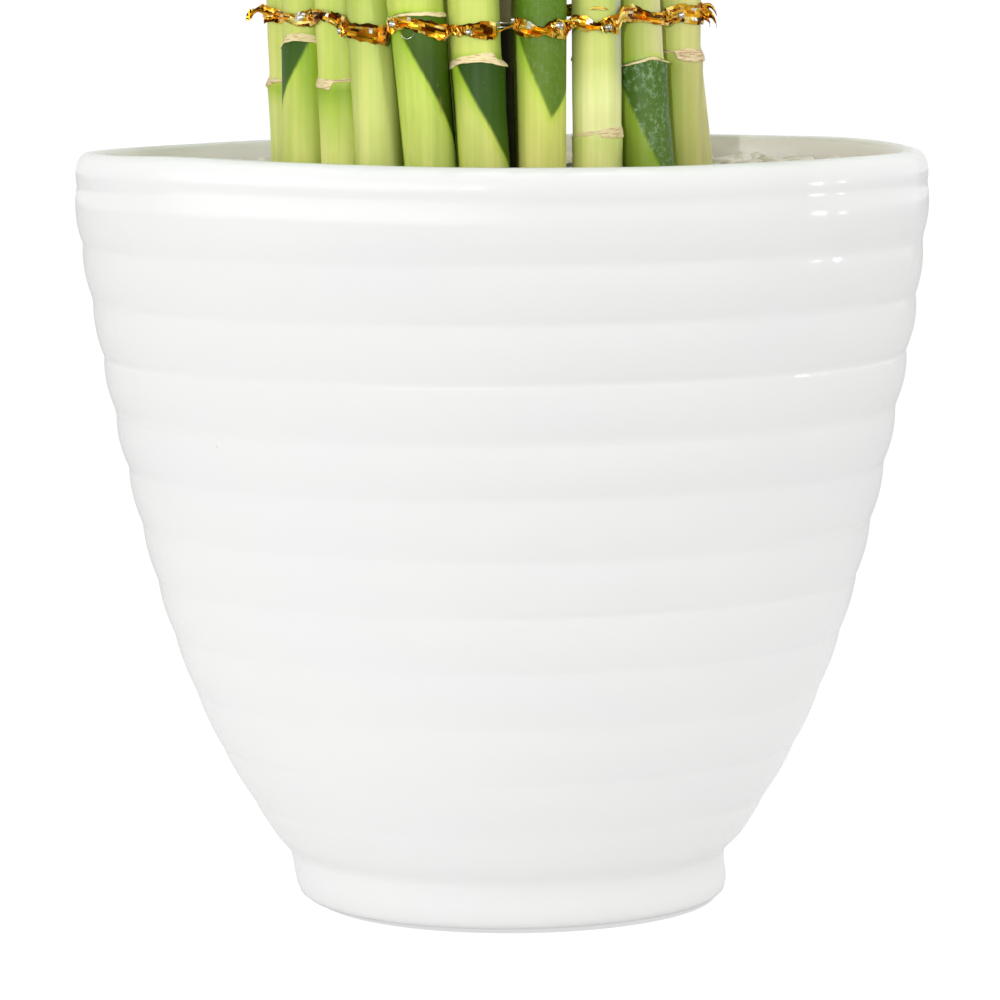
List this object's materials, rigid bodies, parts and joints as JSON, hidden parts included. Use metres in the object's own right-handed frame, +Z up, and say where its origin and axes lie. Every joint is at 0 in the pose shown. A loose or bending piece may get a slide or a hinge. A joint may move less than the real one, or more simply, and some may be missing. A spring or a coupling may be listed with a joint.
{
  "type": "lucky bamboo tower",
  "caption": "Potted lucky bamboo: a tiered tower of cut canes with leafy shoots, tied with gold garland, in gravel in a ribbed white pot.",
  "frame": {"origin": "on the ground under the middle of the pot's foot", "axes": "+Z up along the pot's axis, -Y towards the front of the arrangement, +X to the right seen from the front"},
  "size_m": [0.2728, 0.2893, 0.3983],
  "materials": {
    "glaze": "glossy white glaze",
    "gravel": "matt white and cream pebbles",
    "stalk": "waxy green cane with pale leaf scars",
    "leaf": "satin green leaf",
    "foil": "crinkled gold foil on wire"
  },
  "bodies": {
    "root": {"pot": "glaze", "gravel": "gravel", "stalk_outer_01": "stalk", "stalk_outer_02": "stalk", "stalk_outer_03": "stalk", "stalk_outer_04": "stalk", "stalk_outer_05": "stalk", "stalk_outer_06": "stalk", "stalk_outer_07": "stalk", "stalk_outer_08": "stalk", "stalk_outer_09": "stalk", "stalk_outer_10": "stalk", "stalk_outer_11": "stalk", "stalk_outer_12": "stalk", "stalk_outer_13": "stalk", "stalk_outer_14": "stalk", "stalk_outer_15": "stalk", "stalk_outer_16": "stalk", "stalk_outer_17": "stalk", "stalk_outer_18": "stalk", "stalk_outer_19": "stalk", "stalk_outer_20": "stalk", "stalk_middle_1": "stalk", "stalk_middle_2": "stalk", "stalk_middle_3": "stalk", "stalk_middle_4": "stalk", "stalk_middle_5": "stalk", "stalk_middle_6": "stalk", "stalk_centre": "stalk", "shoot_outer_01": "leaf", "shoot_outer_02": "leaf", "shoot_outer_03": "leaf", "shoot_outer_04": "leaf", "shoot_outer_05": "leaf", "shoot_outer_06": "leaf", "shoot_outer_07": "leaf", "shoot_outer_08": "leaf", "shoot_outer_09": "leaf", "shoot_outer_10": "leaf", "shoot_outer_11": "leaf", "shoot_outer_12": "leaf", "shoot_outer_13": "leaf", "shoot_outer_14": "leaf", "shoot_outer_15": "leaf", "shoot_outer_16": "leaf", "shoot_outer_17": "leaf", "shoot_outer_18": "leaf", "shoot_outer_19": "leaf", "shoot_outer_20": "leaf", "shoot_middle_1": "leaf", "shoot_middle_2": "leaf", "shoot_middle_3": "leaf", "shoot_middle_4": "leaf", "shoot_middle_5": "leaf", "shoot_middle_6": "leaf", "shoot_centre_1": "leaf", "shoot_centre_2": "leaf", "tie_outer": "foil", "tie_middle": "foil"}
  },
  "joints": []
}
